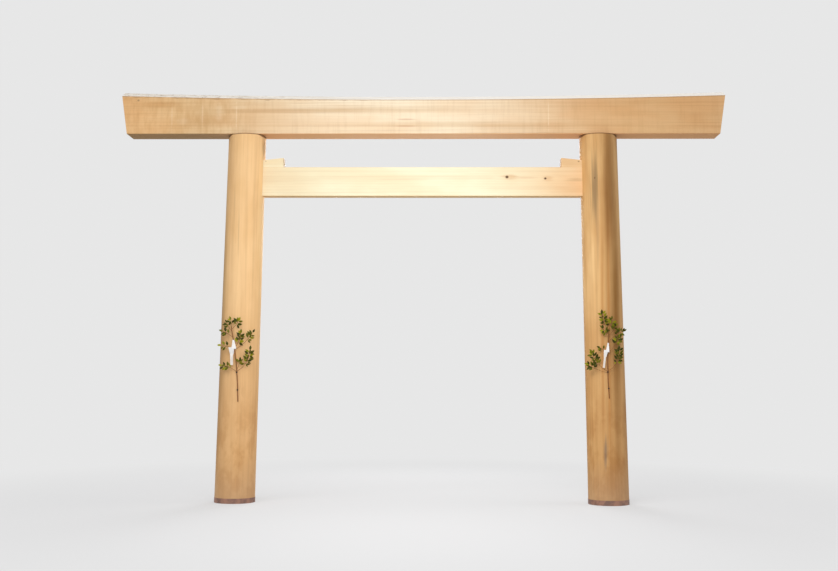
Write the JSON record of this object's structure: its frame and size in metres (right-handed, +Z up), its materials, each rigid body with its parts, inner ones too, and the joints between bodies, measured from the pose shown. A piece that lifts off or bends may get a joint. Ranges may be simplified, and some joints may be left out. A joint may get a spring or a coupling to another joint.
{
  "type": "torii gate",
  "caption": "Plain timber torii gate: two leaning round pillars, a heavy top beam with a sloped top, a wedged tie beam, copper foot bands, and a cut sprig with a paper streamer on each pillar",
  "frame": {"origin": "on the ground, midway between the two pillars and under the middle of the beams", "axes": "+Z up, +X along the beams to the right as seen from the front, -Y to the front, where the sprigs hang"},
  "size_m": [7.2792, 0.5521, 4.938],
  "materials": {
    "pillar_wood": "planed cypress, weathered honey colour",
    "beam_wood": "planed cypress, pale and slightly pink",
    "tie_wood": "planed cypress, pale straw colour",
    "wedge_wood": "planed cypress, end grain at the free end",
    "copper": "dark brown copper sheet",
    "bark": "dark twig bark",
    "leaf": "glossy evergreen leaf",
    "iron": "dark forged iron",
    "cord": "hemp cord",
    "paper": "white folded paper"
  },
  "bodies": {
    "root": {"left_pillar": "pillar_wood", "right_pillar": "pillar_wood", "top_beam": "beam_wood", "tie_beam": "tie_wood", "left_wedge": "wedge_wood", "right_wedge": "wedge_wood", "left_foot_band": "copper", "right_foot_band": "copper", "left_sprig_stem": "bark", "right_sprig_stem": "bark", "left_sprig_leaves": "leaf", "right_sprig_leaves": "leaf", "left_lower_nail": "iron", "left_upper_nail": "iron", "right_lower_nail": "iron", "right_upper_nail": "iron", "left_streamer_tie": "cord", "right_streamer_tie": "cord", "left_streamer": "paper", "right_streamer": "paper"}
  },
  "joints": []
}
